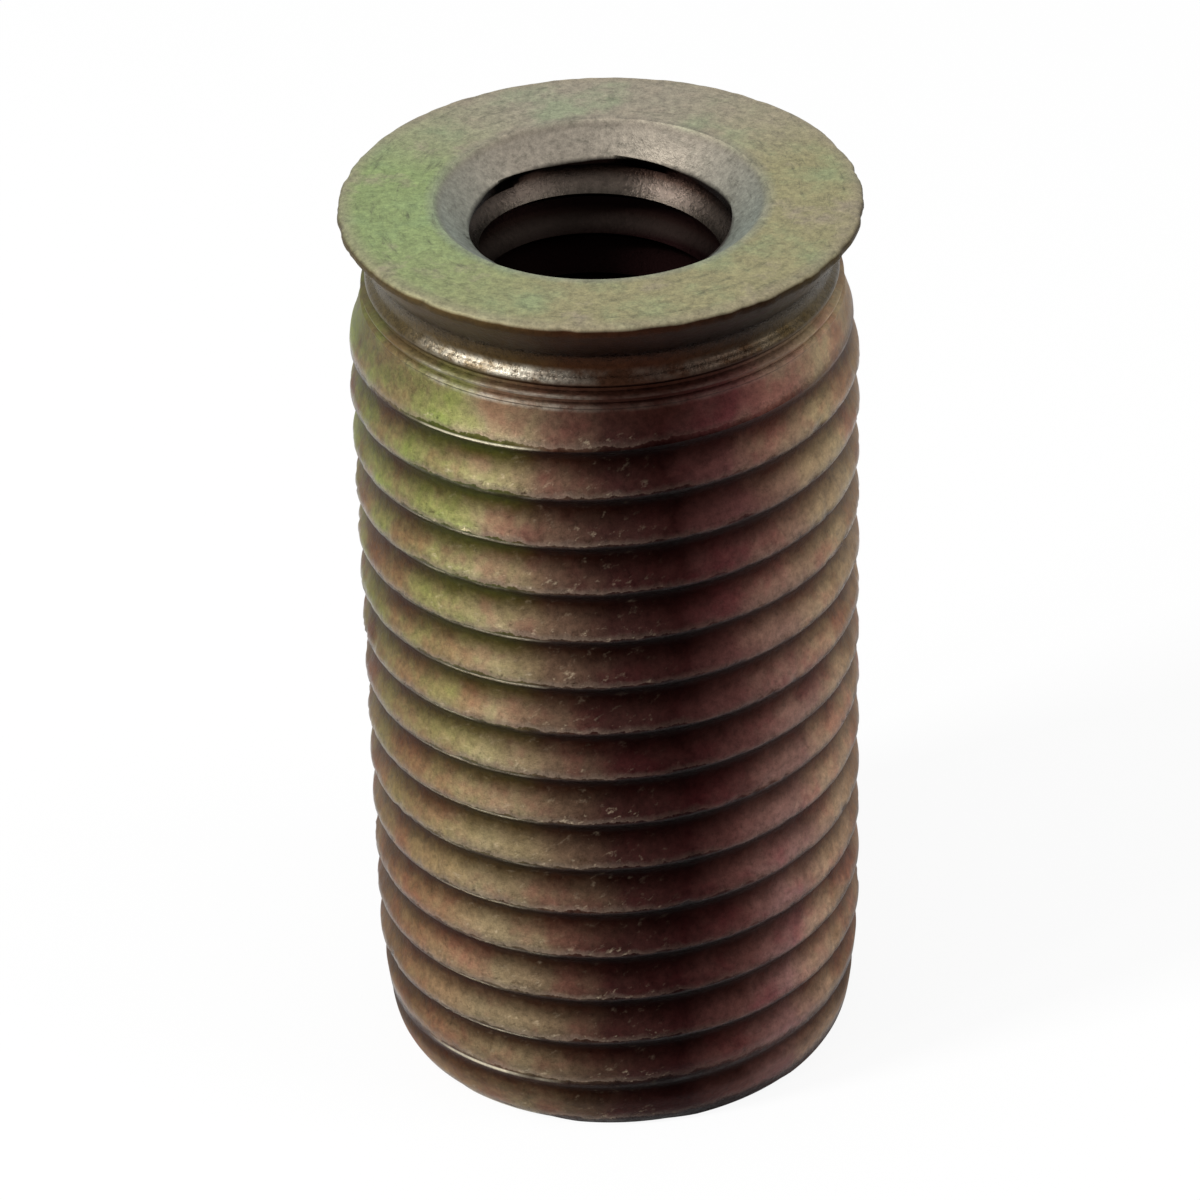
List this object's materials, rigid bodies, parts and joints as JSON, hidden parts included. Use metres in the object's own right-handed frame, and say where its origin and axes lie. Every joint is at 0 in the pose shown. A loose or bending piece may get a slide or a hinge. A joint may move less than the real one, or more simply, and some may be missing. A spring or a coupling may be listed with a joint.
{
  "type": "threaded bushing",
  "caption": "Plated steel threaded bushing with a thin top collar, an undercut neck, an outside thread and a countersunk threaded bore.",
  "frame": {"origin": "centre of the foot, on the surface the bushing stands on", "axes": "+Z along the axis, from the foot up to the collar"},
  "size_m": [0.0142, 0.0142, 0.0265],
  "materials": {
    "plated_steel": "yellow chromated zinc plate, satin, worn"
  },
  "bodies": {
    "root": {"threaded_bushing": "plated_steel"}
  },
  "joints": []
}
